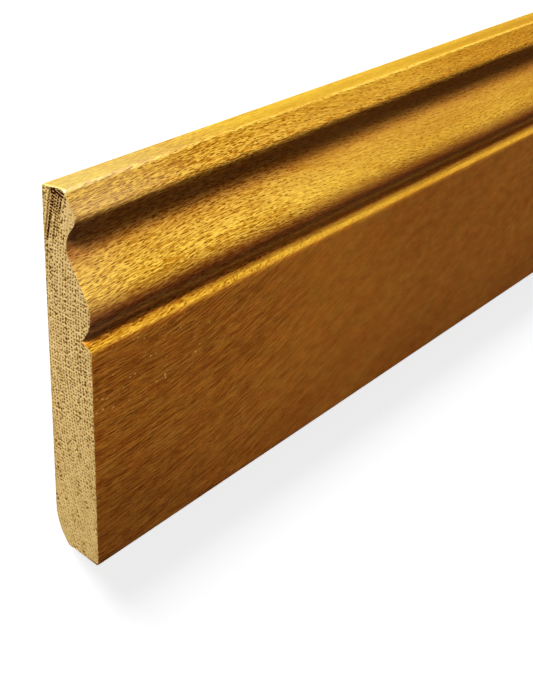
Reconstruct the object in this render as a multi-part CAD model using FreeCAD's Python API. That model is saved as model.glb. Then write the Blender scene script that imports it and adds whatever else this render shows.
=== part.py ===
import FreeCAD, Part
import math
import os

# Ogee skirting board: one length of solid oak with a moulded top, lying on its back with its face up.
# X runs along the length, Y from the floor edge to the moulded top edge, and Z out of the face.
# The origin is under the middle of the board, on the surface that it lies on.
# The section is drawn in millimetres as (forward, up): forward of the back, and up from the floor edge.
# The moulding is set out from the face and the top edge, and the relief of the foot from the back and
# the floor edge, so a taller or thicker board keeps the same moulding and the same foot.

# Stock size
LENGTH = 2400.0
HEIGHT = 145.0
THICKNESS = 20.0

# Nose: the lip under the flat top edge, with a sloping brow above its foremost line
TOP_ARRIS_RADIUS = 2.0
BROW_ANGLE = 31.0
NOSE_UPPER_RADIUS = 7.5
NOSE_LOWER_RADIUS = 4.5
NOSE_DEPTH = 5.5
NOSE_BELOW_TOP = 10.4

# Cove: the hollow under the nose
COVE_RADIUS = 9.6
COVE_DEPTH = 9.7
COVE_BELOW_NOSE = 10.2

# Swell: the round that brings the ogee back out, level with the face
SWELL_RADIUS = 13.6
SWELL_BELOW_COVE = 24.0

# Quirk: the sharp groove under the swell, and the bevel that runs from it out to the flat face
QUIRK_DEPTH = 4.3
QUIRK_BEVEL_ANGLE = 37.0
QUIRK_ARRIS_RADIUS = 2.0

# Foot: the floor edge, bevelled up from the face, and the long round that relieves the back
FOOT_ARRIS_RADIUS = 0.6
FOOT_BEVEL_ANGLE = 16.7
BACK_RELIEF_HEIGHT = 20.0
BACK_RELIEF_DEPTH = 5.6


def on_circle(centre, radius, angle):
    """A point (forward, up) of a circle; 0 degrees is forward and 90 is up."""
    turn = math.radians(angle)
    return centre[0] + radius * math.cos(turn), centre[1] + radius * math.sin(turn)


def on_board(point):
    """A point (forward, up) of the section, at the board's near end."""
    forward, up = point
    return FreeCAD.Vector(-LENGTH / 2, up - HEIGHT / 2, forward)


def arc(centre, radius, first_angle, last_angle):
    """A round stretch of the outline, as its first, middle and last points."""
    middle_angle = (first_angle + last_angle) / 2
    return [on_circle(centre, radius, angle) for angle in (first_angle, middle_angle, last_angle)]


def fitted(rise, depth, round_radius, hollow_radius):
    """The radii of a round and a hollow that flow into each other, smaller where their rise is short."""
    room = (rise**2 + depth**2) / (2 * depth)
    share = min(1.0, room / (round_radius + hollow_radius))
    return round_radius * share, hollow_radius * share


def turn_between(rise, depth, round_radius, hollow_radius):
    """How far a round and a hollow turn from upright before a straight line joins the two.

    rise and depth are measured between the foremost line of the round and the deepest of the hollow.
    """
    both = round_radius + hollow_radius
    apart = math.hypot(both - depth, rise)
    return math.degrees(math.atan2(rise, both - depth) - math.acos(min(1.0, both / apart)))


def nose_and_cove(nose, cove):
    """The top edge's arris, the brow, the nose and the upper half of the cove."""
    rise, depth = nose[1] - cove[1], nose[0] - cove[0]
    lower_radius, cove_radius = fitted(rise, depth, NOSE_LOWER_RADIUS, COVE_RADIUS)
    turn = turn_between(rise, depth, lower_radius, cove_radius)

    upper_centre = (nose[0] - NOSE_UPPER_RADIUS, nose[1])
    brow_forward, brow_up = on_circle(upper_centre, NOSE_UPPER_RADIUS, BROW_ANGLE)
    edge_forward = brow_forward - (HEIGHT - brow_up) * math.tan(math.radians(BROW_ANGLE))
    arris_run = TOP_ARRIS_RADIUS * math.tan(math.radians(90.0 - BROW_ANGLE) / 2)
    arris_centre = (edge_forward - arris_run, HEIGHT - TOP_ARRIS_RADIUS)
    return [
        arc(arris_centre, TOP_ARRIS_RADIUS, 90.0, BROW_ANGLE),
        arc(upper_centre, NOSE_UPPER_RADIUS, BROW_ANGLE, 0.0),
        arc((nose[0] - lower_radius, nose[1]), lower_radius, 0.0, -turn),
        arc((cove[0] + cove_radius, cove[1]), cove_radius, 180.0 - turn, 180.0),
    ]


def ogee_and_quirk(cove, swell):
    """The lower half of the cove, the swell down into the quirk, and the quirk's bevel."""
    rise, depth = cove[1] - swell[1], swell[0] - cove[0]
    swell_radius, cove_radius = fitted(rise, depth, SWELL_RADIUS, COVE_RADIUS)
    turn = turn_between(rise, depth, swell_radius, cove_radius)

    swell_centre = (swell[0] - swell_radius, swell[1])
    quirk_turn = math.degrees(math.acos(1.0 - QUIRK_DEPTH / swell_radius))
    quirk_up = on_circle(swell_centre, swell_radius, -quirk_turn)[1]
    edge_up = quirk_up - QUIRK_DEPTH * math.tan(math.radians(QUIRK_BEVEL_ANGLE))
    arris_run = QUIRK_ARRIS_RADIUS * math.tan(math.radians(90.0 - QUIRK_BEVEL_ANGLE) / 2)
    arris_centre = (THICKNESS - QUIRK_ARRIS_RADIUS, edge_up - arris_run)
    return [
        arc((cove[0] + cove_radius, cove[1]), cove_radius, 180.0, 180.0 + turn),
        arc(swell_centre, swell_radius, turn, -quirk_turn),
        arc(arris_centre, QUIRK_ARRIS_RADIUS, 90.0 - QUIRK_BEVEL_ANGLE, 0.0),
    ]


def foot():
    """The arris at the floor, and the round of the back, which meets the bevel under the foot."""
    arris_centre = (THICKNESS - FOOT_ARRIS_RADIUS, FOOT_ARRIS_RADIUS)
    last_angle = -90.0 - FOOT_BEVEL_ANGLE
    bevel_forward, bevel_up = on_circle(arris_centre, FOOT_ARRIS_RADIUS, last_angle)
    slope = math.tan(math.radians(FOOT_BEVEL_ANGLE))
    heel_up = bevel_up + (bevel_forward - BACK_RELIEF_DEPTH) * slope

    rise = BACK_RELIEF_HEIGHT - heel_up
    radius = (rise**2 + BACK_RELIEF_DEPTH**2) / (2 * BACK_RELIEF_DEPTH)
    heel_angle = 180.0 + math.degrees(math.asin(rise / radius))
    return [
        arc(arris_centre, FOOT_ARRIS_RADIUS, 0.0, last_angle),
        arc((radius, BACK_RELIEF_HEIGHT), radius, heel_angle, 180.0),
    ]


def section():
    """The section's face: its round stretches in order, with straight lines between them."""
    nose = (THICKNESS - NOSE_DEPTH, HEIGHT - NOSE_BELOW_TOP)
    cove = (THICKNESS - COVE_DEPTH, nose[1] - COVE_BELOW_NOSE)
    swell = (THICKNESS, cove[1] - SWELL_BELOW_COVE)
    top_back = (0.0, HEIGHT)

    edges = []
    here = top_back
    for first, middle, last in nose_and_cove(nose, cove) + ogee_and_quirk(cove, swell) + foot():
        if math.dist(here, first) > 1e-6:
            edges.append(Part.LineSegment(on_board(here), on_board(first)).toShape())
        edges.append(Part.Arc(on_board(first), on_board(middle), on_board(last)).toShape())
        here = last
    edges.append(Part.LineSegment(on_board(here), on_board(top_back)).toShape())
    return Part.Face(Part.Wire(edges))


def skirting_board():
    """The whole board, run through the moulder in one piece and sawn square at both ends."""
    return section().extrude(FreeCAD.Vector(LENGTH, 0, 0))


os.makedirs("parts", exist_ok=True)
skirting_board().exportStep("parts/skirting_board.step")
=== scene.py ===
import math
import bmesh
import bpy
from mathutils import Matrix, Vector


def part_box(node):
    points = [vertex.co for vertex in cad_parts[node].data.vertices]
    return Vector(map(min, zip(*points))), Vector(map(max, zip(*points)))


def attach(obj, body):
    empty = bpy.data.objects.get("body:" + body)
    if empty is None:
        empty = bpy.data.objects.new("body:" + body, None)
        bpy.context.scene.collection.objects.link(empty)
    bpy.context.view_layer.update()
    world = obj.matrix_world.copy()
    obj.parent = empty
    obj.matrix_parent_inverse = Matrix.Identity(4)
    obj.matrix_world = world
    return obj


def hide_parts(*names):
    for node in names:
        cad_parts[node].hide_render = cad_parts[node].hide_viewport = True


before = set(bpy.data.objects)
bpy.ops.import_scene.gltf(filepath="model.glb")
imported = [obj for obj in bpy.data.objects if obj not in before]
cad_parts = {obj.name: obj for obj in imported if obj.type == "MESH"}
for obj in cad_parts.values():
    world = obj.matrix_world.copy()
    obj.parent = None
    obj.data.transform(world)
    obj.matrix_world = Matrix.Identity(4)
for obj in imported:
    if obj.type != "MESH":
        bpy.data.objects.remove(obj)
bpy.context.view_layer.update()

# The board as it lies: X runs along its length, Y up its section and Z out of its face, in metres.
# A place in its section is (forward, up): forward of the back, and up from the floor edge.
MM = 0.001
BOARD_LOW, BOARD_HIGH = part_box("skirting_board")
NEAR_X, FAR_X = BOARD_LOW.x, BOARD_HIGH.x
HEIGHT = BOARD_HIGH.y - BOARD_LOW.y
THICKNESS = BOARD_HIGH.z - BOARD_LOW.z

# Nose, with its sloping brow and the arris of the top edge
TOP_ARRIS_RADIUS = 2.0 * MM
BROW_ANGLE = 31.0
NOSE_UPPER_RADIUS = 7.5 * MM
NOSE_LOWER_RADIUS = 4.5 * MM
NOSE_DEPTH = 5.5 * MM
NOSE_BELOW_TOP = 10.4 * MM

# Cove, swell and quirk
COVE_RADIUS = 9.6 * MM
COVE_DEPTH = 9.7 * MM
COVE_BELOW_NOSE = 10.2 * MM
SWELL_RADIUS = 13.6 * MM
SWELL_BELOW_COVE = 24.0 * MM
QUIRK_DEPTH = 4.3 * MM
QUIRK_BEVEL_ANGLE = 37.0
QUIRK_ARRIS_RADIUS = 2.0 * MM

# Foot
FOOT_ARRIS_RADIUS = 0.6 * MM
FOOT_BEVEL_ANGLE = 16.7
BACK_RELIEF_HEIGHT = 20.0 * MM
BACK_RELIEF_DEPTH = 5.6 * MM

# How finely the board is divided: faces along each stretch of the section, and through its thickness
ARRIS_FACES = 8
BROW_FACES = 7
NOSE_FACES = 5
REVERSE_FACES = 2
COVE_FACES = 7
OGEE_FACES = 16
SWELL_FACES = 20
BEVEL_FACES = 5
FACE_FACES = 58
FOOT_FACES = 11
FOOT_ARRIS_FACES = 5
THICKNESS_FACES = 15
SAWN_END_FINENESS = 3

# How the long faces are divided: fine near the sawn end that is seen, and coarse beyond
FINE_LENGTH = 400.0 * MM
FINE_FACES = 120
COARSE_FACES = 48

# The strip of small faces behind each sawn end, and the gap over which the two halves are bridged
LIP = 1.2 * MM
SEAM = 0.8 * MM
SAME_PLACE = 1e-7


def on_circle(centre, radius, angle):
    """A point (forward, up) of a circle; 0 degrees is forward and 90 is up."""
    turn = math.radians(angle)
    return centre[0] + radius * math.cos(turn), centre[1] + radius * math.sin(turn)


def turn_between(rise, depth, round_radius, hollow_radius):
    """How far a round and a hollow turn from upright before a straight line joins the two."""
    both = round_radius + hollow_radius
    apart = math.hypot(both - depth, rise)
    return math.degrees(math.atan2(rise, both - depth) - math.acos(min(1.0, both / apart)))


class Pencil:
    """Draws one line of the section in edit mode, from point to point, by extruding and spinning its end."""

    def __init__(self, name, x, start, fineness):
        self.x = x
        self.here = start
        self.fineness = fineness
        bpy.ops.object.select_all(action="DESELECT")
        bpy.ops.mesh.primitive_plane_add(size=MM, location=self.place(start))
        self.line = bpy.context.object
        self.line.name = name
        bpy.ops.object.transform_apply(location=True)
        bpy.ops.object.mode_set(mode="EDIT")
        bpy.ops.mesh.select_mode(type="VERT")
        bpy.ops.mesh.select_all(action="SELECT")
        bpy.ops.mesh.merge(type="CENTER")

    def place(self, point):
        return Vector((self.x, point[1] - HEIGHT / 2, point[0]))

    def straight(self, to, faces):
        steps = faces * self.fineness
        step = (self.place(to) - self.place(self.here)) / steps
        for _ in range(steps):
            bpy.ops.mesh.extrude_region_move(TRANSFORM_OT_translate={"value": step})
        self.here = to

    def arc(self, centre, radius, first_angle, last_angle, faces):
        bpy.ops.mesh.spin(
            steps=faces * self.fineness,
            angle=math.radians(first_angle - last_angle),
            center=self.place(centre),
            axis=(-1, 0, 0),
        )
        self.here = on_circle(centre, radius, last_angle)

    def lift(self):
        bpy.ops.object.mode_set(mode="OBJECT")
        return self.line


class Moulding:
    """Where the round stretches of the section have their centres, and where they start and end."""

    def __init__(self):
        self.nose = (THICKNESS - NOSE_DEPTH, HEIGHT - NOSE_BELOW_TOP)
        self.cove = (THICKNESS - COVE_DEPTH, self.nose[1] - COVE_BELOW_NOSE)
        self.swell = (THICKNESS, self.cove[1] - SWELL_BELOW_COVE)
        self.nose_turn = turn_between(
            self.nose[1] - self.cove[1], self.nose[0] - self.cove[0], NOSE_LOWER_RADIUS, COVE_RADIUS
        )
        self.ogee_turn = turn_between(
            self.cove[1] - self.swell[1], self.swell[0] - self.cove[0], SWELL_RADIUS, COVE_RADIUS
        )

        self.nose_upper_centre = (self.nose[0] - NOSE_UPPER_RADIUS, self.nose[1])
        self.nose_lower_centre = (self.nose[0] - NOSE_LOWER_RADIUS, self.nose[1])
        self.cove_centre = (self.cove[0] + COVE_RADIUS, self.cove[1])
        self.swell_centre = (self.swell[0] - SWELL_RADIUS, self.swell[1])

        brow_foot = on_circle(self.nose_upper_centre, NOSE_UPPER_RADIUS, BROW_ANGLE)
        edge_forward = brow_foot[0] - (HEIGHT - brow_foot[1]) * math.tan(math.radians(BROW_ANGLE))
        arris_run = TOP_ARRIS_RADIUS * math.tan(math.radians(90.0 - BROW_ANGLE) / 2)
        self.brow_foot = brow_foot
        self.top_arris_centre = (edge_forward - arris_run, HEIGHT - TOP_ARRIS_RADIUS)

        self.quirk_turn = math.degrees(math.acos(1.0 - QUIRK_DEPTH / SWELL_RADIUS))
        self.quirk = on_circle(self.swell_centre, SWELL_RADIUS, -self.quirk_turn)
        edge_up = self.quirk[1] - QUIRK_DEPTH * math.tan(math.radians(QUIRK_BEVEL_ANGLE))
        arris_run = QUIRK_ARRIS_RADIUS * math.tan(math.radians(90.0 - QUIRK_BEVEL_ANGLE) / 2)
        self.quirk_arris_centre = (THICKNESS - QUIRK_ARRIS_RADIUS, edge_up - arris_run)

        self.foot_centre = (THICKNESS - FOOT_ARRIS_RADIUS, FOOT_ARRIS_RADIUS)
        self.foot_turn = 90.0 + FOOT_BEVEL_ANGLE
        bevel = on_circle(self.foot_centre, FOOT_ARRIS_RADIUS, -self.foot_turn)
        heel_up = bevel[1] + (bevel[0] - BACK_RELIEF_DEPTH) * math.tan(math.radians(FOOT_BEVEL_ANGLE))
        self.heel = (BACK_RELIEF_DEPTH, heel_up)
        rise = BACK_RELIEF_HEIGHT - heel_up
        self.relief_radius = (rise**2 + BACK_RELIEF_DEPTH**2) / (2 * BACK_RELIEF_DEPTH)
        self.relief_centre = (self.relief_radius, BACK_RELIEF_HEIGHT)
        self.relief_turn = math.degrees(math.asin(rise / self.relief_radius))


moulding = Moulding()


def draw_front(x, fineness):
    """The moulded line, from the flat of the top edge down the face to the bevel under the foot."""
    m = moulding
    start = on_circle(m.top_arris_centre, TOP_ARRIS_RADIUS, 90.0)
    pencil = Pencil("front_line", x, start, fineness)
    pencil.arc(m.top_arris_centre, TOP_ARRIS_RADIUS, 90.0, BROW_ANGLE, ARRIS_FACES)
    pencil.straight(m.brow_foot, BROW_FACES)
    pencil.arc(m.nose_upper_centre, NOSE_UPPER_RADIUS, BROW_ANGLE, 0.0, NOSE_FACES)
    pencil.arc(m.nose_lower_centre, NOSE_LOWER_RADIUS, 0.0, -m.nose_turn, NOSE_FACES)
    pencil.straight(on_circle(m.cove_centre, COVE_RADIUS, 180.0 - m.nose_turn), REVERSE_FACES)
    pencil.arc(m.cove_centre, COVE_RADIUS, 180.0 - m.nose_turn, 180.0, COVE_FACES)
    pencil.arc(m.cove_centre, COVE_RADIUS, 180.0, 180.0 + m.ogee_turn, COVE_FACES)
    pencil.straight(on_circle(m.swell_centre, SWELL_RADIUS, m.ogee_turn), OGEE_FACES)
    pencil.arc(m.swell_centre, SWELL_RADIUS, m.ogee_turn, -m.quirk_turn, SWELL_FACES)
    bevel_end = on_circle(m.quirk_arris_centre, QUIRK_ARRIS_RADIUS, 90.0 - QUIRK_BEVEL_ANGLE)
    pencil.straight(bevel_end, BEVEL_FACES)
    pencil.arc(m.quirk_arris_centre, QUIRK_ARRIS_RADIUS, 90.0 - QUIRK_BEVEL_ANGLE, 0.0, ARRIS_FACES)
    pencil.straight((THICKNESS, BACK_RELIEF_HEIGHT), FACE_FACES)
    pencil.straight((THICKNESS, FOOT_ARRIS_RADIUS), FOOT_FACES)
    pencil.arc(m.foot_centre, FOOT_ARRIS_RADIUS, 0.0, -m.foot_turn, FOOT_ARRIS_FACES)
    return pencil.lift()


def draw_back(x, fineness):
    """The back's line, from the top edge down to the heel, with as many faces as the front."""
    moulded_faces = (
        2 * ARRIS_FACES + BROW_FACES + 2 * NOSE_FACES + REVERSE_FACES + 2 * COVE_FACES
        + OGEE_FACES + SWELL_FACES + BEVEL_FACES
    )
    m = moulding
    pencil = Pencil("back_line", x, (0.0, HEIGHT), fineness)
    pencil.straight((0.0, m.quirk_arris_centre[1]), moulded_faces)
    pencil.straight((0.0, BACK_RELIEF_HEIGHT), FACE_FACES)
    pencil.arc(
        m.relief_centre, m.relief_radius, 180.0, 180.0 + m.relief_turn, FOOT_FACES + FOOT_ARRIS_FACES
    )
    return pencil.lift()


def joined(name, objects):
    """One mesh object made of several."""
    bpy.ops.object.select_all(action="DESELECT")
    for obj in objects:
        obj.select_set(True)
    bpy.context.view_layer.objects.active = objects[0]
    bpy.ops.object.join()
    objects[0].name = name
    return objects[0]


def sawn_end(name, x, fineness):
    """The whole section as a sheet of small faces, as the saw leaves it."""
    sheet = joined(name, [draw_front(x, fineness), draw_back(x, fineness)])
    bpy.ops.object.mode_set(mode="EDIT")
    bpy.ops.mesh.select_all(action="SELECT")
    bpy.ops.mesh.bridge_edge_loops(
        type="SINGLE", number_cuts=THICKNESS_FACES * fineness - 1, interpolation="LINEAR", smoothness=0.0
    )
    bpy.ops.object.mode_set(mode="OBJECT")
    return sheet


def select_edges(board, wanted):
    """Selects, in edit mode, only the edges for which wanted(first place, second place) holds."""
    bpy.ops.mesh.select_mode(type="EDGE")
    bpy.ops.mesh.select_all(action="DESELECT")
    mesh = bmesh.from_edit_mesh(board.data)
    for edge in mesh.edges:
        edge.select_set(wanted(*(corner.co for corner in edge.verts)))
    mesh.select_flush_mode()
    bmesh.update_edit_mesh(board.data)


def run_out(board, lengths):
    """Pulls the open edge of the mesh along the board, a length and a number of faces at a time."""
    bpy.ops.object.mode_set(mode="EDIT")
    bpy.ops.mesh.select_mode(type="EDGE")
    bpy.ops.mesh.select_all(action="SELECT")
    bpy.ops.mesh.region_to_loop()
    reached = board.data.vertices[0].co.x
    spans = []
    for length, faces in lengths:
        bpy.ops.mesh.extrude_edges_move(TRANSFORM_OT_translate={"value": (length, 0, 0)})
        spans.append((reached, reached + length, faces))
        reached += length
    for first_x, last_x, faces in spans:
        if faces > 1:
            middle_x, half = (first_x + last_x) / 2, abs(last_x - first_x) / 2
            select_edges(
                board,
                lambda a, b: abs(a.x - b.x) > half and abs((a.x + b.x) / 2 - middle_x) < half * 0.01,
            )
            bpy.ops.mesh.subdivide(number_cuts=faces - 1)
    bpy.ops.object.mode_set(mode="OBJECT")


def model_board():
    """The whole board: its far end, the long faces run out from it, and the finer near end bridged on."""
    coarse_length = FAR_X - NEAR_X - FINE_LENGTH - SEAM - 2 * LIP
    far = sawn_end("skirting_board_oak", FAR_X, 1)
    run_out(
        far,
        [(-LIP / 4, 1), (-LIP * 3 / 4, 1), (-coarse_length, COARSE_FACES), (-FINE_LENGTH, FINE_FACES)],
    )
    near = sawn_end("near_end", NEAR_X, SAWN_END_FINENESS)
    run_out(near, [(LIP / 8, 1), (LIP / 8, 1), (LIP / 4, 1), (LIP / 2, 1)])

    board = joined("skirting_board_oak", [far, near])
    bpy.ops.object.mode_set(mode="EDIT")
    bpy.ops.mesh.select_mode(type="EDGE")
    bpy.ops.mesh.select_all(action="DESELECT")
    bpy.ops.mesh.select_non_manifold(extend=False)
    bpy.ops.mesh.bridge_edge_loops(type="SINGLE")
    bpy.ops.mesh.select_all(action="SELECT")
    bpy.ops.mesh.remove_doubles(threshold=SAME_PLACE)
    bpy.ops.mesh.normals_make_consistent(inside=False)
    bpy.ops.object.mode_set(mode="OBJECT")
    return board


board = model_board()
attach(board, "root")
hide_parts("skirting_board")


def add_node(tree, kind, inputs=None, **settings):
    """A node with its settings, and with its inputs set to numbers or linked to fields and sockets."""
    node = tree.nodes.new(kind)
    for name, value in settings.items():
        setattr(node, name, value)
    for key, value in (inputs or {}).items():
        if isinstance(value, Field):
            value = value.socket
        if isinstance(value, bpy.types.NodeSocket):
            tree.links.new(value, node.inputs[key])
        else:
            node.inputs[key].default_value = value
    return node


class Field:
    """A number that varies through the wood. Sums and products of fields are maths nodes."""

    def __init__(self, tree, socket):
        self.tree = tree
        self.socket = socket

    def math(self, operation, *others):
        node = add_node(self.tree, "ShaderNodeMath", dict(enumerate([self, *others])), operation=operation)
        return Field(self.tree, node.outputs[0])

    def __add__(self, other):
        return self.math("ADD", other)

    def __sub__(self, other):
        return self.math("SUBTRACT", other)

    def __mul__(self, other):
        return self.math("MULTIPLY", other)

    def __truediv__(self, other):
        return self.math("DIVIDE", other)

    def opposite(self):
        """1 where the field is 0, and 0 where it is 1."""
        return self.math("MULTIPLY_ADD", -1.0, 1.0)

    def larger(self, other):
        return self.math("MAXIMUM", other)

    def sine(self):
        return self.math("SINE")

    def fade(self, start, end, low=0.0, high=1.0):
        """Goes smoothly from low to high as the field goes from start to end, and stays there."""
        node = add_node(
            self.tree,
            "ShaderNodeMapRange",
            {"Value": self, "From Min": start, "From Max": end, "To Min": low, "To Max": high},
            interpolation_type="SMOOTHSTEP",
        )
        return Field(self.tree, node.outputs["Result"])

    def within(self, rising, falling):
        """1 on a stretch and 0 off it: where the field fades in, and where it fades out again."""
        return self.fade(*rising) * self.fade(*falling)

    def mixed(self, low, high):
        """The colour low where the field is 0, and high where it is 1."""
        node = add_node(
            self.tree, "ShaderNodeMix", {"Factor": self, 6: low, 7: high}, data_type="RGBA", clamp_factor=True
        )
        return node.outputs[2]


def split(tree, vector):
    node = add_node(tree, "ShaderNodeSeparateXYZ", {0: vector})
    return [Field(tree, socket) for socket in node.outputs]


def combined(tree, parts):
    return add_node(tree, "ShaderNodeCombineXYZ", dict(enumerate(parts))).outputs[0]


def vector_maths(tree, operation, first, second):
    return add_node(tree, "ShaderNodeVectorMath", {0: first, 1: second}, operation=operation).outputs[0]


# The grain's swing: on the moulded part it arches near the end, and on the face it climbs away from it.
# These and all other sizes of the pattern are in millimetres.
QUIRK_UP = 89.0
ARCH_HEIGHT = 5.0
ARCH_WAVE = 400.0
CLIMB_START = 15.0
CLIMB_END = 480.0
CLIMB_HEIGHT = 95.0
CLIMB_SLOPE = 0.05

# The heart of the tree, from which the growth rings are drawn, and how far they shift along the board
HEART_UP = 95.0
HEART_FORWARD = 270.0
TAPER = 0.01

# The rays: how far the rows of pores lean, and the pale lines that cross the crowded rings
ROW_SLOPE = 0.25
RAY_SLOPE = 0.42
RAY_SPACING = 1.2

# Kinds of pore: the cell that holds one and its half size, as (along, across the rings, round them), how far
# it strays in its cell, the share of the cells that have one, and a seed
RING_DOTS = dict(cell=(9.0, 1.45, 1.8), half_sizes=(4.6, 0.66, 0.62), jitter=0.5, share=1.2, seed=0.0)
PACKED_DOTS = dict(cell=(9.0, 1.2, 1.2), half_sizes=(4.6, 0.75, 0.62), jitter=0.4, share=1.3, seed=0.5)
SMALL_DOTS = dict(cell=(9.0, 1.2, 1.25), half_sizes=(4.6, 0.47, 0.47), jitter=0.4, share=1.2, seed=0.3)
DASHES = dict(cell=(3.6, 0.8, 1.35), half_sizes=(1.7, 0.42, 0.22), jitter=0.65, share=0.95, seed=0.0)
FINE_PORES = dict(cell=(2.6, 0.6, 0.8), half_sizes=(1.3, 0.28, 0.15), jitter=0.9, share=0.9, seed=0.4)
SLITS = dict(cell=(8.0, 2.5, 1.5), half_sizes=(3.2, 1.4, 0.2), jitter=0.95, share=0.8, seed=0.2)
SPECKS = dict(cell=(3.1, 1.3, 1.5), half_sizes=(0.7, 0.9, 0.42), jitter=1.0, share=0.5, seed=0.7)

# Rings with large pores: a place low down and one at the top, as (forward, up), the half width and the share
LARGE_PORES = (
    ((8.2, 80.0), (8.6, 116.0), 0.9, 1.0),
    ((13.6, 86.0), (15.0, 94.0), 1.6, 0.8),
    ((13.0, 56.0), (14.0, 84.0), 0.9, 0.7),
    ((16.0, 52.0), (17.0, 84.0), 0.9, 0.9),
    ((3.0, 40.0), (3.4, 54.0), 0.9, 0.6),
    ((1.1, 113.0), (1.5, 124.0), 0.7, 1.2),
    ((2.4, 108.0), (2.9, 123.0), 0.7, 1.3),
)

# Rings whose pores crowd, in the same way
PACKED_RINGS = (
    ((0.6, 127.0), (3.7, 144.0), 0.36, 0.62),
    ((1.4, 125.5), (5.4, 144.2), 0.50, 1.35),
    ((4.0, 125.0), (6.4, 138.0), 0.38, 0.74),
    ((6.2, 137.0), (8.0, 143.6), 0.38, 1.10),
    ((4.8, 135.5), (6.8, 144.0), 0.34, 0.90),
    ((7.2, 135.5), (9.2, 143.4), 0.44, 1.25),
    ((5.8, 128.5), (7.2, 136.0), 0.30, 0.45),
    ((10.0, 139.0), (10.6, 142.2), 0.42, 0.80),
    ((5.2, 142.8), (5.2, 144.3), 1.15, 2.80),
    ((7.2, 142.6), (7.2, 144.0), 1.15, 2.80),
    ((8.9, 142.2), (8.9, 143.6), 0.90, 2.80),
)


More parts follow.
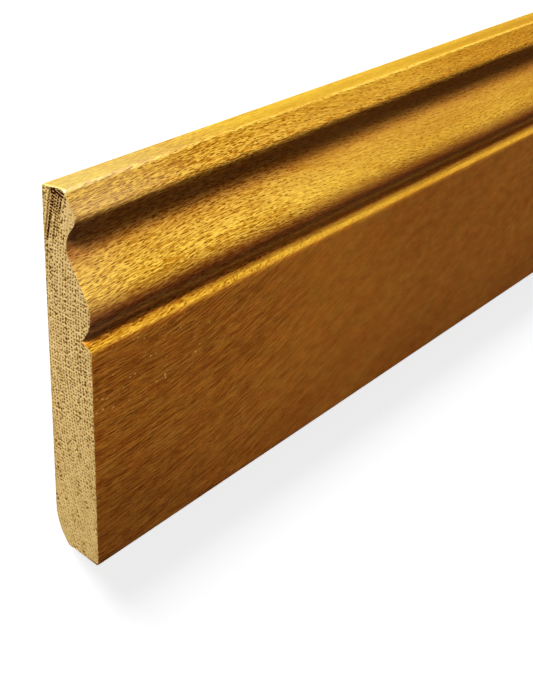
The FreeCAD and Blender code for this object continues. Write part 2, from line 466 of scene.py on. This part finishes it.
class Oak:
    """The pattern of the wood, in mm: along from the near end, up from the floor edge, and forward."""

    def __init__(self, tree, place):
        self.tree = tree
        from_corner = add_node(
            tree,
            "ShaderNodeVectorMath",
            {0: place, 1: (1 / MM,) * 3, 2: (-NEAR_X / MM, HEIGHT / 2 / MM, 0.0)},
            operation="MULTIPLY_ADD",
        )
        self.along, self.up, self.forward = split(tree, from_corner.outputs[0])
        self.from_end = self.along.math("MINIMUM", (self.along - (FAR_X - NEAR_X) / MM) * -1.0)
        self.line = self.grain_line()
        self.ring = self.growth_ring()
        self.row = self.line + self.forward * ROW_SLOPE

    def noise(self, lengths, detail=2.0, roughness=0.5, seed=0.0):
        """Noise about 0 that follows the grain, with lumps this long along, up and forward."""
        place = [self.along / lengths[0] + seed, self.line / lengths[1] + seed, self.forward / lengths[2]]
        return self.noise_at(place, detail, roughness)

    def straight_noise(self, lengths, detail, roughness, shift=0.0):
        """The same, but straight along the board."""
        place = [self.along / lengths[0] + shift, self.up / lengths[1], self.forward / lengths[2]]
        return self.noise_at(place, detail, roughness)

    def noise_at(self, place, detail, roughness):
        node = add_node(
            self.tree,
            "ShaderNodeTexNoise",
            {"Vector": combined(self.tree, place), "Scale": 1.0, "Detail": detail, "Roughness": roughness},
        )
        return Field(self.tree, node.outputs[0]) - 0.5

    def grain_line(self):
        """How far up a fibre lies at the near end: the grain swings up and down along the board."""
        face = self.up.fade(QUIRK_UP + 0.6, QUIRK_UP - 0.6) * self.forward.fade(6.0, 19.0)
        arch = (self.along * (2 * math.pi / ARCH_WAVE)).sine() * ARCH_HEIGHT
        climb = self.from_end.fade(CLIMB_START, CLIMB_END, 0.0, CLIMB_HEIGHT) + self.from_end * CLIMB_SLOPE
        rise = arch + (climb - arch) * face
        drift = self.straight_noise((210.0, 60.0, 60.0), detail=1.0, roughness=0.4) * 6.0
        quiver = self.straight_noise((38.0, 9.0, 9.0), detail=1.0, roughness=0.4) * 1.5
        return self.up - rise + drift + quiver

    def growth_ring(self):
        """The distance from the heart of the tree, which lay in front of the face."""
        across = self.line - HEART_UP
        ahead = self.forward - HEART_FORWARD
        return (across * across + ahead * ahead).math("SQRT") + self.along * TAPER

    def pores(self, cell, half_sizes, jitter, share, seed):
        """Pores as long ellipsoids, from 0 between them to 1 in the middle of the deepest."""
        place = [self.along / cell[0] + seed, self.ring / cell[1] + seed, self.row / cell[2]]
        place = combined(self.tree, place)
        nearest = add_node(
            self.tree, "ShaderNodeTexVoronoi", {"Vector": place, "Scale": 1.0, "Randomness": jitter}
        )
        off = vector_maths(self.tree, "SUBTRACT", place, nearest.outputs["Position"])
        along, across, round_it = split(self.tree, off)
        round_it = round_it + across * (ROW_SLOPE * cell[1] / cell[2])
        reach = [size / half for size, half in zip(cell, half_sizes)]
        off = vector_maths(self.tree, "MULTIPLY", combined(self.tree, [along, across, round_it]), reach)
        distance = add_node(self.tree, "ShaderNodeVectorMath", {0: off}, operation="LENGTH")
        inside = Field(self.tree, distance.outputs["Value"]).fade(1.1, 0.5)
        chance, depth, _ = split(self.tree, nearest.outputs["Color"])
        return inside * chance.fade(share, share - 0.1) * (depth * 0.5 + 0.5)

    def along_rings(self, rings):
        """1 along these rings and 0 away from them, times each ring's share."""
        on_ring = None
        for foot, head, half_width, share in rings:
            lean = (head[0] - foot[0]) / (head[1] - foot[1])
            aside = ((self.up - foot[1]) * -lean + self.forward - foot[0]).math("ABSOLUTE")
            band = aside.fade(half_width + 0.15, half_width - 0.15)
            band = band * self.up.fade(foot[1] - 1.5, foot[1] + 1.5)
            band = band * self.up.fade(head[1] + 0.5, head[1] - 0.5) * share
            on_ring = band if on_ring is None else on_ring.larger(band)
        return on_ring

    def end_pores(self):
        """The large pores as a sawn end shows them: dots along some rings, and the crowded ones."""
        scattered = self.noise_at([self.along / 200.0, self.ring / 2.6, self.row / 14.0], 1.0, 0.5)
        scattered = (scattered * 4.0 + 0.2).math("MINIMUM", 0.8).larger(0.0)
        dots = self.pores(**RING_DOTS) * 1.5 * scattered.larger(self.along_rings(LARGE_PORES))
        return dots.larger(self.crowded_pores()).math("MINIMUM", 1.0)

    def crowded_pores(self):
        """Pores that run together along the crowded rings, with the pale rays that cross them."""
        crowded = (self.pores(**PACKED_DOTS) * 0.3 + 0.9) * self.along_rings(PACKED_RINGS)
        stray = self.straight_noise((200.0, 6.0, 12.0), detail=1.0, roughness=0.5) * 1.3
        slanted = self.up + self.forward * RAY_SLOPE + stray
        ray = (slanted * (2.0 * math.pi / RAY_SPACING)).sine().fade(0.30, 0.85)
        gap = ray * self.up.fade(133.0, 138.0, 0.6, 0.85)
        return crowded.math("MINIMUM", 1.0) * gap.opposite()


def colour(red, green, blue):
    return (red, green, blue, 1.0)


WHITE = colour(1.0, 1.0, 1.0)
BLACK = colour(0.0, 0.0, 0.0)

# Tones of the wood, each from its darkest to its palest
GOLDEN = (colour(0.56, 0.228, 0.009), colour(1.0, 0.60, 0.079))
# The flat face's brown is partly the wood's own redder tone and partly painted shade
BROWN_WITH_PAINTED_SHADE = (colour(0.300, 0.078, 0.003), colour(0.62, 0.235, 0.024))
COOL_TO_WARM = (colour(0.96, 1.06, 1.10), colour(1.04, 0.94, 0.92))
BARE_BACK = (colour(0.44, 0.27, 0.085), colour(0.72, 0.50, 0.20))
BARE_END = (colour(0.45, 0.295, 0.10), colour(0.74, 0.535, 0.235))

# Rims and middles of the pores, each on the golden moulding and then on the brown face
PORE_RIM = (colour(0.52, 0.20, 0.004), colour(0.22, 0.055, 0.003))
PORE_MIDDLE = (colour(0.32, 0.105, 0.003), colour(0.10, 0.026, 0.002))

# The same on the sawn ends, each among loose pores and then in the crowded rings
END_PORE_RIM = (colour(0.30, 0.165, 0.035), colour(0.20, 0.06, 0.004))
END_PORE_MIDDLE = (colour(0.12, 0.06, 0.012), colour(0.016, 0.003, 0.0005))

# Where the wood is pale: specks on the face, painted sheen on the near end and on its top edge, and the
# arrises of the sawn ends, low down and at the top, the top one partly a painted highlight
SPECK = colour(1.0, 0.64, 0.16)
NEAR_END_PAINTED_SHEEN = colour(0.92, 0.72, 0.38)
TOP_EDGE_PAINTED_SHEEN = colour(0.86, 0.62, 0.48)
# Worn arrises; the paler one at the top is partly a painted highlight
BARE_ARRIS_AND_HIGHLIGHT = (colour(0.79, 0.56, 0.19), colour(0.94, 0.74, 0.36))

# Where it is dark: the crowded rings and the back strip of the sawn ends, and the scorched line at the foot
CROWDED = colour(0.36, 0.17, 0.04)
BACK_STRIP = colour(0.33, 0.22, 0.08)
SCORCHED = colour(0.10, 0.035, 0.01)

# How the colour darkens farther along the board, as shares of red, green and blue
TOP_EDGE_DIMMED = colour(0.90, 0.84, 0.74)
BROW_DIMMED = colour(0.82, 0.72, 0.50)
OGEE_DIMMED = colour(0.86, 0.79, 0.70)
FACE_DIMMED = colour(0.88, 0.87, 0.98)
# Painted shade deep in the quirk near the end, in the same shares
QUIRK_PAINTED_SHADE = colour(0.55, 0.68, 1.0)

# How the bare wood of the sawn ends darkens towards the foot and is paler towards the top, in the same way
END_FOOT = colour(0.85, 0.85, 0.78)
END_TOP = colour(1.10, 1.10, 1.07)

# How far up the section, in mm, each stretch of the moulding fades in and out
BROW = ((133.0, 136.5), (144.2, 143.4))
NOSE = ((129.5, 132.0), (137.5, 135.5))
COVE = ((118.0, 121.0), (134.0, 132.0))
COVE_AND_NOSE = ((117.0, 119.5), (139.0, 137.0))
OGEE = ((99.0, 103.0), (122.5, 120.5))
SWELL = ((89.8, 91.0), (112.0, 104.0))
QUIRK = ((90.2, 91.0), (94.0, 92.0))

# Painted shade and painted highlights on each part: how far up the section, in mm, the part fades in and out,
# and its shares of red, green and blue. The arrises and the nose are pale with painted highlights, and the
# hollows dark with painted shade.
PAINTED_SHADE_AND_HIGHLIGHTS = {
    "flat face": ((-2.0, -1.0), (87.4, 86.6), (1.05, 1.0, 1.05)),
    "foot of the face": ((-2.0, -1.0), (45.0, 0.0), (0.80, 0.75, 0.75)),
    "arris of the face": ((84.8, 86.0), (87.4, 86.2), (1.35, 1.45, 1.25)),
    "bevel": ((86.4, 88.0), (90.2, 89.0), (0.80, 0.75, 0.45)),
    "quirk": ((88.8, 89.8), (90.8, 90.0), (1.15, 0.75, 0.80)),
    "under the swell": ((90.2, 91.0), (103.5, 97.5), (0.60, 0.45, 0.80)),
    "pale line under the swell": ((92.8, 94.2), (96.4, 94.4), (1.60, 1.70, 1.70)),
    "front of the swell": ((95.0, 98.0), (106.0, 98.5), (0.75, 0.50, 0.40)),
    "ogee": ((103.0, 108.0), (114.0, 109.0), (1.05, 1.10, 1.00)),
    "cove": ((115.0, 123.0), (137.0, 131.5), (0.65, 0.45, 0.50)),
    "under the nose": ((124.0, 128.0), (134.0, 131.0), (0.70, 0.75, 1.10)),
    "nose": ((133.5, 136.0), (138.0, 136.0), (1.40, 1.35, 1.20)),
    "brow": ((136.0, 143.0), (144.0, 143.4), (0.85, 0.80, 0.55)),
    "top arris": ((143.0, 144.2), (144.9, 144.2), (1.20, 1.40, 1.80)),
    "top edge": ((144.3, 145.0), (147.0, 146.0), (0.80, 0.90, 0.60)),
}


def new_material(name):
    material = bpy.data.materials.new(name)
    material.use_nodes = True
    material.node_tree.nodes.clear()
    return material


def finish_material(material, base, roughness, height, depth, specular):
    """A plain surface with this colour, this roughness and these dents, whose depth is in millimetres."""
    tree = material.node_tree
    bump = add_node(tree, "ShaderNodeBump", {"Height": height, "Distance": depth * MM, "Strength": 1.0})
    surface = add_node(
        tree,
        "ShaderNodeBsdfPrincipled",
        {
            "Base Color": base,
            "Roughness": roughness,
            "Normal": bump.outputs[0],
            "Specular IOR Level": specular,
        },
    )
    add_node(tree, "ShaderNodeOutputMaterial", {"Surface": surface.outputs[0]})
    return material


def tinted(tree, base, tint):
    """The base colour times the tint."""
    node = add_node(
        tree, "ShaderNodeMix", {"Factor": 1.0, 6: base, 7: tint}, data_type="RGBA", blend_type="MULTIPLY"
    )
    return node.outputs[2]


class OiledFaces:
    """The oiled faces: the parts of the section, the figure of the wood, its pores, and their colours."""

    def __init__(self, tree):
        oak = Oak(tree, add_node(tree, "ShaderNodeTexCoord").outputs["Object"])
        self.tree = tree
        self.oak = oak
        self.face = oak.forward.fade(16.0, 19.6) * oak.up.fade(87.6, 86.4)
        self.land = oak.up.fade(144.0, 144.9)
        self.brow = oak.up.within(*BROW)

        bolder = self.brow * 0.45 + oak.up.within(*NOSE) * 1.1 + oak.up.within(*COVE) * 0.7
        bolder = bolder + oak.up.within(*SWELL) * 0.5 - self.land * 0.35 + 1.0
        self.bold = oak.along.fade(70.0, 170.0, 1.4, 0.45) * bolder
        self.patches = oak.noise((90.0, 12.0, 12.0), seed=3.0)
        self.streaks = oak.noise((20.0, 1.2, 1.2), seed=7.0)
        self.fibres = oak.noise((5.0, 0.45, 0.45), detail=1.0, roughness=0.6, seed=11.0)

        self.dashes = oak.pores(**DASHES) * (self.face * 0.8).opposite() * (self.land * 0.85).opposite()
        self.fine = oak.pores(**FINE_PORES)
        self.slits = oak.pores(**SLITS) * self.face * oak.along.fade(190.0, 50.0) * 0.8
        dark = self.dashes.larger(self.fine * 0.7 * (self.face * 0.2).opposite()) * self.bold
        self.dark = dark.larger(self.slits).math("MINIMUM", 1.0)

    def dimmed(self, base, share, tint):
        """The base colour, times the tint where the share is 1."""
        return tinted(self.tree, base, share.mixed(WHITE, tint))

    def golden(self):
        tone = self.patches * 0.9 + (self.streaks * 0.9 + self.fibres * 2.6) * self.bold + 0.52
        return tone.mixed(*GOLDEN)

    def brown(self):
        """The flat face, partly painted shade: mottled, darker at the near end's foot, and a little redder in
        places.
        """
        oak = self.oak
        mottle = oak.straight_noise((9.0, 4.0, 4.0), detail=3.0, roughness=0.65)
        long_fibres = oak.noise((9.0, 0.38, 0.38), detail=1.0, roughness=0.6, seed=15.0)
        lines = (self.streaks * 0.8 + long_fibres * 1.9) * self.bold
        lines = lines * oak.along.fade(110.0, 230.0, 1.0, 0.5)
        tone = self.patches * 0.5 + mottle * 1.1 + lines + 0.5
        near_foot = oak.along.fade(110.0, 0.0) * oak.up.fade(60.0, 5.0) * 0.26
        base = self.dimmed(tone.mixed(*BROWN_WITH_PAINTED_SHADE), near_foot, BLACK)
        warmth = oak.straight_noise((14.0, 6.0, 6.0), detail=2.0, roughness=0.6, shift=31.0) * 2.4 + 0.5
        return tinted(self.tree, base, warmth.mixed(*COOL_TO_WARM))

    def with_pores(self, base):
        """Dark pores with a stained rim."""
        base = (self.dark * 1.2).mixed(base, self.face.mixed(*PORE_RIM))
        return (self.dark * 1.2 - 0.45).mixed(base, self.face.mixed(*PORE_MIDDLE))

    def with_specks(self, base):
        """Clusters of pale specks on the face, near the end."""
        oak = self.oak
        clusters = (oak.noise((9.0, 5.0, 5.0), detail=0.0, seed=41.0) * 6.0 - 0.2).larger(0.0)
        near_end = oak.along.fade(100.0, 60.0) * oak.up.fade(50.0, 62.0) * self.face
        return (oak.pores(**SPECKS) * clusters * near_end).mixed(base, SPECK)

    def darker_along(self, base):
        """Darker farther along the board, from a different place on each part."""
        along = self.oak.along
        top_edge = self.land * self.oak.forward.fade(2.0, 7.5, 0.3, 1.4)
        base = self.dimmed(base, top_edge * along.fade(90.0, 170.0), TOP_EDGE_DIMMED)
        base = self.dimmed(base, self.brow.larger(top_edge * 0.6) * along.fade(170.0, 300.0), BROW_DIMMED)
        base = self.dimmed(base, self.oak.up.within(*OGEE) * along.fade(120.0, 290.0), OGEE_DIMMED)
        return self.dimmed(base, self.face * along.fade(130.0, 300.0), FACE_DIMMED)

    def with_painted_sheen(self, base):
        """Painted sheen: paler towards the near end, most of all on the brow and the top edge."""
        oak = self.oak
        upper = oak.along.fade(80.0, 5.0) * oak.up.fade(131.0, 137.0) * 0.25
        whole = oak.along.fade(35.0, 0.0) * oak.up.fade(89.0, 91.0) * 0.1
        base = upper.larger(whole).mixed(base, NEAR_END_PAINTED_SHEEN)
        # Painted sheen on the top edge near the end
        top_edge_sheen = oak.along.fade(125.0, 35.0) * self.land * 0.15
        return top_edge_sheen.mixed(base, TOP_EDGE_PAINTED_SHEEN)

    def bare_arrises_and_highlight(self, base):
        """The finish worn off the arrises of the sawn ends, up to a ragged line; at the top paler, partly a
        painted highlight.
        """
        oak = self.oak
        upper = oak.up.fade(141.8, 144.2)
        ragged = oak.noise((2.0, 2.5, 2.5), roughness=0.7, seed=27.0)
        reach = (upper * 1.3 + ragged + 0.3).larger(0.12)
        bare = (oak.from_end / reach).fade(1.1, 0.6)
        return (bare * 0.9).mixed(base, upper.mixed(*BARE_ARRIS_AND_HIGHLIGHT))

    def with_painted_shade_and_highlights(self, base):
        """Painted shade in the hollows and painted highlights on the rounds. The cove's shade ends along the
        grain.
        """
        oak = self.oak
        wander = (self.streaks * 3.8 + self.fibres * 2.4) * oak.up.within(*COVE_AND_NOSE)
        height = oak.up + wander
        # Painted shade and painted highlights, part by part up the section
        for rising, falling, tint in PAINTED_SHADE_AND_HIGHLIGHTS.values():
            base = self.dimmed(base, height.within(rising, falling), colour(*tint))
        # Painted shade, deeper in the quirk near the end
        return self.dimmed(base, oak.along.fade(110.0, 0.0) * oak.up.within(*QUIRK), QUIRK_PAINTED_SHADE)

    def with_back(self, base):
        """The back, which has no finish."""
        back = self.oak.forward.fade(7.0, 6.0) * self.oak.up.fade(144.8, 144.2)
        tone = self.patches * 0.9 + self.streaks * 1.2 + self.fibres * 1.4 - self.dark * 0.5 + 0.55
        return back.mixed(base, tone.mixed(*BARE_BACK))

    def dents(self):
        figure = self.streaks * 0.4 + self.fibres * 0.5
        return figure - self.dashes - self.fine * 0.3 - self.slits * 1.6


def oiled_oak():
    """The moulded faces: golden on the moulding, browner on the flat face partly as painted shade, with long
    dark pores.
    """
    material = new_material("oiled_oak")
    faces = OiledFaces(material.node_tree)
    finish = faces.face.mixed(faces.golden(), faces.brown())
    for treatment in (
        faces.with_pores,
        faces.with_specks,
        faces.darker_along,
        faces.with_painted_sheen,
        faces.bare_arrises_and_highlight,
        faces.with_painted_shade_and_highlights,
        faces.with_back,
    ):
        finish = treatment(finish)
    roughness = faces.dark * 0.15 + 0.78
    return finish_material(material, finish, roughness, faces.dents(), depth=0.25, specular=0.1)


def sawn_oak():
    """The sawn ends: bare wood with its pores end on."""
    material = new_material("sawn_oak")
    tree = material.node_tree
    oak = Oak(tree, add_node(tree, "ShaderNodeTexCoord").outputs["Object"])

    patches = oak.noise((60.0, 8.0, 4.0), seed=5.0)
    saw_marks = oak.noise((60.0, 0.5, 3.0), seed=9.0)
    grit = oak.noise((1.0, 0.35, 0.35), detail=1.0, seed=13.0)
    tone = patches * 0.9 + saw_marks * 1.1 + grit * 1.6 + 0.5
    base = tinted(tree, tone.mixed(*BARE_END), oak.up.fade(85.0, 0.0).mixed(WHITE, END_FOOT))
    base = tinted(tree, base, oak.up.fade(122.0, 145.0).mixed(WHITE, END_TOP))

    crowd = oak.along_rings(PACKED_RINGS)
    base = (crowd * 0.2).mixed(base, CROWDED)
    base = (oak.forward.fade(1.3, 0.5) * 0.35).mixed(base, BACK_STRIP)
    above_foot = oak.up + (oak.forward - THICKNESS / MM) * math.tan(math.radians(FOOT_BEVEL_ANGLE))
    corner = oak.forward.fade(15.0, 19.5)
    scorch = above_foot.fade(0.9, 0.2) * oak.forward.fade(8.0, 14.0) * (corner * 0.5 + 0.5)
    base = scorch.mixed(base, SCORCHED)

    calm = oak.forward.fade(8.0, 10.0) * oak.up.fade(121.0, 125.0)
    small = oak.pores(**SMALL_DOTS) * oak.up.fade(5.0, 90.0, 0.55, 0.95) * (calm * 0.5).opposite()
    dark = oak.end_pores().larger(small)
    base = (dark * 1.7).mixed(base, crowd.mixed(*END_PORE_RIM))
    base = (dark * 1.8 - 0.6).mixed(base, crowd.mixed(*END_PORE_MIDDLE))
    return finish_material(material, base, 0.8, dark * -1.0, depth=0.1, specular=0.03)


# Depths of the relief, in mm, and how far behind a sawn end its bare wood reaches
WORN_ARRIS = 0.3
SIDE_RELIEF = 0.08
PORE_DEPTH = 0.35
SAW_RELIEF = 0.1
END_EDGE_DEPTH = 0.06
BARE_REACH = 0.05 * MM

# Where the surface turns more than this from one face to the next, the edge between them is sharp
SHARP_EDGE = 30.0


def sink(geometry_in, tree, oak, normal):
    """Moves the surface inwards by the depth of its relief."""
    across, *round_it = split(tree, normal)
    chips = (oak.noise((50.0, 2.2, 2.2), roughness=0.7, seed=21.0) * 2.2 + 0.45).larger(0.0)
    worn = chips * oak.from_end.fade(0.8, 0.0) * WORN_ARRIS
    waves = (oak.noise((70.0, 6.0, 6.0), detail=1.0, seed=17.0) + 0.5) * SIDE_RELIEF
    saw_marks = (oak.noise((60.0, 0.6, 4.0), detail=1.0, seed=9.0) + 0.5) * SAW_RELIEF
    pits = oak.end_pores() * PORE_DEPTH + saw_marks
    cap = (across * across).fade(0.55, 0.95)
    end_depth = cap * pits + cap.opposite() * END_EDGE_DEPTH
    side_depth = worn + waves
    parts = [across * end_depth, round_it[0] * side_depth, round_it[1] * side_depth]
    offset = vector_maths(tree, "MULTIPLY", combined(tree, parts), (-MM,) * 3)
    return add_node(tree, "GeometryNodeSetPosition", {"Geometry": geometry_in, "Offset": offset})


def carve_relief():
    """The pores and saw marks of the ends, their ragged arrises and the slight unevenness of the faces."""
    tree = bpy.data.node_groups.new("relief", "GeometryNodeTree")
    for way in ("INPUT", "OUTPUT"):
        tree.interface.new_socket("Geometry", in_out=way, socket_type="NodeSocketGeometry")
    start = add_node(tree, "NodeGroupInput")
    oak = Oak(tree, add_node(tree, "GeometryNodeInputPosition").outputs[0])
    normal = add_node(tree, "GeometryNodeInputNormal").outputs[0]
    sunk = sink(start.outputs[0], tree, oak, normal)
    add_node(tree, "NodeGroupOutput", {0: sunk.outputs[0]})
    bpy.ops.object.select_all(action="DESELECT")
    board.select_set(True)
    bpy.context.view_layer.objects.active = board
    modifier = board.modifiers.new("relief", "NODES")
    modifier.node_group = tree
    bpy.ops.object.modifier_apply(modifier=modifier.name)


def dress_board():
    """The two materials: the faces have the first, and every face of the two sawn ends the second."""
    board.data.materials.clear()
    board.data.materials.append(oiled_oak())
    board.data.materials.append(sawn_oak())
    for polygon in board.data.polygons:
        at_end = min(polygon.center.x - NEAR_X, FAR_X - polygon.center.x) < BARE_REACH
        polygon.material_index = int(at_end)
    bpy.ops.object.select_all(action="DESELECT")
    board.select_set(True)
    bpy.context.view_layer.objects.active = board
    bpy.ops.object.shade_smooth_by_angle(angle=math.radians(SHARP_EDGE))


dress_board()
carve_relief()

# The floor, whose own glow is seen only by the camera and makes it white, and the light all round
FLOOR_SIZE = 60.0
FLOOR_GREY = 0.65
FLOOR_GLOW = 0.76
WORLD_LEVEL = 0.07

# Lamps: a name, the way towards it, how many degrees it is across, its level, and whether it shows in a sheen
LAMPS = (
    ("key", (-0.55, 0.79, 0.235), 16.0, 1.5, True),
    ("end_fill", (-0.97, 0.15, 0.2), 19.0, 0.15, True),
    ("far_fill", (0.99, 0.0, 0.05), 19.0, 0.3, False),
)


def lay_floor():
    """A plain pale floor under the board, white to the camera but for the board's shadow."""
    bpy.ops.object.select_all(action="DESELECT")
    bpy.ops.mesh.primitive_plane_add(size=FLOOR_SIZE)
    floor = bpy.context.object
    floor.name = "floor"
    material = new_material("pale_floor")
    tree = material.node_tree
    grey = colour(FLOOR_GREY, FLOOR_GREY, FLOOR_GREY)
    matt = add_node(tree, "ShaderNodeBsdfDiffuse", {"Color": grey})
    looked_at = Field(tree, add_node(tree, "ShaderNodeLightPath").outputs["Is Camera Ray"])
    glow = add_node(tree, "ShaderNodeEmission", {"Strength": looked_at * FLOOR_GLOW})
    both = add_node(tree, "ShaderNodeAddShader", {0: matt.outputs[0], 1: glow.outputs[0]})
    add_node(tree, "ShaderNodeOutputMaterial", {"Surface": both.outputs[0]})
    floor.data.materials.append(material)


def light_world():
    """A dim, even light from all round, which the camera sees as white."""
    world = bpy.data.worlds.new("studio")
    bpy.context.scene.world = world
    world.use_nodes = True
    tree = world.node_tree
    tree.nodes.clear()
    looked_at = add_node(tree, "ShaderNodeLightPath").outputs["Is Camera Ray"]
    level = add_node(tree, "ShaderNodeMapRange", {"Value": looked_at, "To Min": WORLD_LEVEL, "To Max": 1.0})
    background = add_node(tree, "ShaderNodeBackground", {"Color": WHITE, "Strength": level.outputs[0]})
    add_node(tree, "ShaderNodeOutputWorld", {"Surface": background.outputs[0]})


def add_lamp(name, towards_it, spread, level, in_sheen):
    """A far, soft lamp, this many degrees across, that lights a surface facing it to this level."""
    lamp = bpy.data.lights.new(name, "SUN")
    lamp.angle = math.radians(spread)
    lamp.energy = level * math.pi
    holder = bpy.data.objects.new(name, lamp)
    bpy.context.scene.collection.objects.link(holder)
    holder.visible_glossy = in_sheen
    direction = Vector(towards_it).normalized()
    holder.matrix_world = direction.to_track_quat("Z", "Y").to_matrix().to_4x4()


lay_floor()
light_world()
for lamp_settings in LAMPS:
    add_lamp(*lamp_settings)
bpy.context.scene.view_settings.view_transform = "Standard"

# The photograph's size, the camera's focal length, and where the near top corner is seen, all in its pixels
PHOTO_WIDTH = 533.0
PHOTO_HEIGHT = 681.0
FOCAL_LENGTH = 1435.0
CORNER_SEEN = (85.93, 195.15)

# The camera's degrees: turned along the board from a square view of its face, tipped down and leaning
TURNED_ALONG = 56.0
TIPPED_DOWN = 23.72
LEANING = 1.16
CORNER_DISTANCE = 478.0 * MM
SENSOR_WIDTH = 36.0


def place_camera():
    """The photograph's view of the near end. The board lies on its back, so the camera's upright is Y."""
    lens = bpy.data.cameras.new("camera")
    camera = bpy.data.objects.new("camera", lens)
    bpy.context.scene.collection.objects.link(camera)
    turn = (
        Matrix.Rotation(math.radians(-TURNED_ALONG), 4, "Y")
        @ Matrix.Rotation(math.radians(-TIPPED_DOWN), 4, "X")
        @ Matrix.Rotation(math.radians(LEANING), 4, "Z")
    )
    corner = Vector((NEAR_X, HEIGHT / 2, THICKNESS))
    across, up = CORNER_SEEN[0] - PHOTO_WIDTH / 2, PHOTO_HEIGHT / 2 - CORNER_SEEN[1]
    seen = Vector((across, up, -FOCAL_LENGTH)) * (CORNER_DISTANCE / FOCAL_LENGTH)
    camera.matrix_world = Matrix.Translation(corner - turn @ seen) @ turn
    lens.sensor_width = SENSOR_WIDTH
    lens.lens = SENSOR_WIDTH * FOCAL_LENGTH / PHOTO_HEIGHT
    lens.clip_start = 0.01
    bpy.context.scene.camera = camera


place_camera()
